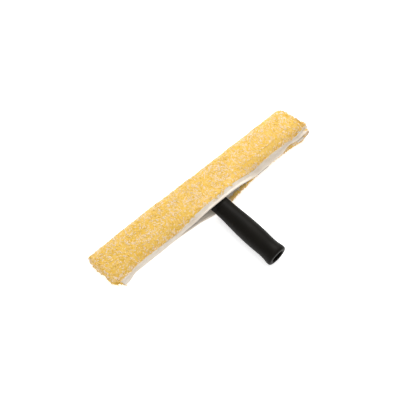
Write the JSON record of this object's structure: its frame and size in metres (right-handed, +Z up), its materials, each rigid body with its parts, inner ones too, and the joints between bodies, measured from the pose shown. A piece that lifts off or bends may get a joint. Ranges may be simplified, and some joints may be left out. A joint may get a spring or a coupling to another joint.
{
  "type": "window washer",
  "caption": "Hand-held window washer: a T-bar with a contoured rubber grip and a removable pile washing sleeve closed by hook-and-loop strips.",
  "frame": {"origin": "centre of the bounding box on the floor plane that the sleeve and grip lie on", "axes": "+X along the bar to the user's right when the handle points at the user, +Y towards the working edge, +Z up from the floor"},
  "size_m": [0.457, 0.203, 0.039],
  "materials": {
    "bar_plastic": "moulded, fine grain",
    "cap_plastic": "moulded, satin",
    "rivet_metal": "satin",
    "tube_metal": "drawn tube",
    "grip_rubber": "matte moulded rubber",
    "pile": "short looped pile, yellow flecked with cream",
    "backing": "woven backing cloth",
    "tape": "woven cream binding",
    "fastener_tape": "hook-and-loop tape",
    "thread": "sewing thread"
  },
  "bodies": {
    "t_bar": {"crossbar": "bar_plastic", "bar_cap_left": "cap_plastic", "bar_cap_right": "cap_plastic", "neck": "bar_plastic", "neck_rivets": "rivet_metal", "handle_tube": "tube_metal", "tube_pin": "rivet_metal", "grip": "grip_rubber", "pole_socket": "cap_plastic"},
    "sleeve": {"pile_top": "pile", "pile_bottom": "pile", "pile_front": "pile", "pile_end_left": "pile", "pile_end_right": "pile", "lining": "backing", "hem_tape_bottom": "tape", "loop_strip_left": "fastener_tape", "loop_strip_right": "fastener_tape", "stitches_bottom": "thread"},
    "flap": {"flap_pile": "pile", "flap_lining": "backing", "hem_tape_top": "tape", "hook_strip_left": "fastener_tape", "hook_strip_right": "fastener_tape", "stitches_top": "thread"}
  },
  "joints": [
    {"name": "sleeve_off", "type": "slide", "parent": "t_bar", "child": "sleeve", "axis": [0, 1, 0], "range_m": [0, 0.075]},
    {"name": "flap_open", "type": "hinge", "parent": "sleeve", "child": "flap", "pos_m": [0, 0.0505, 0.039], "axis": [-1, 0, 0], "range_deg": [0, 120.5]}
  ],
  "couplings": [
    {"joint": "flap_open", "follows": "sleeve_off", "rad_per_m": 27.925}
  ]
}
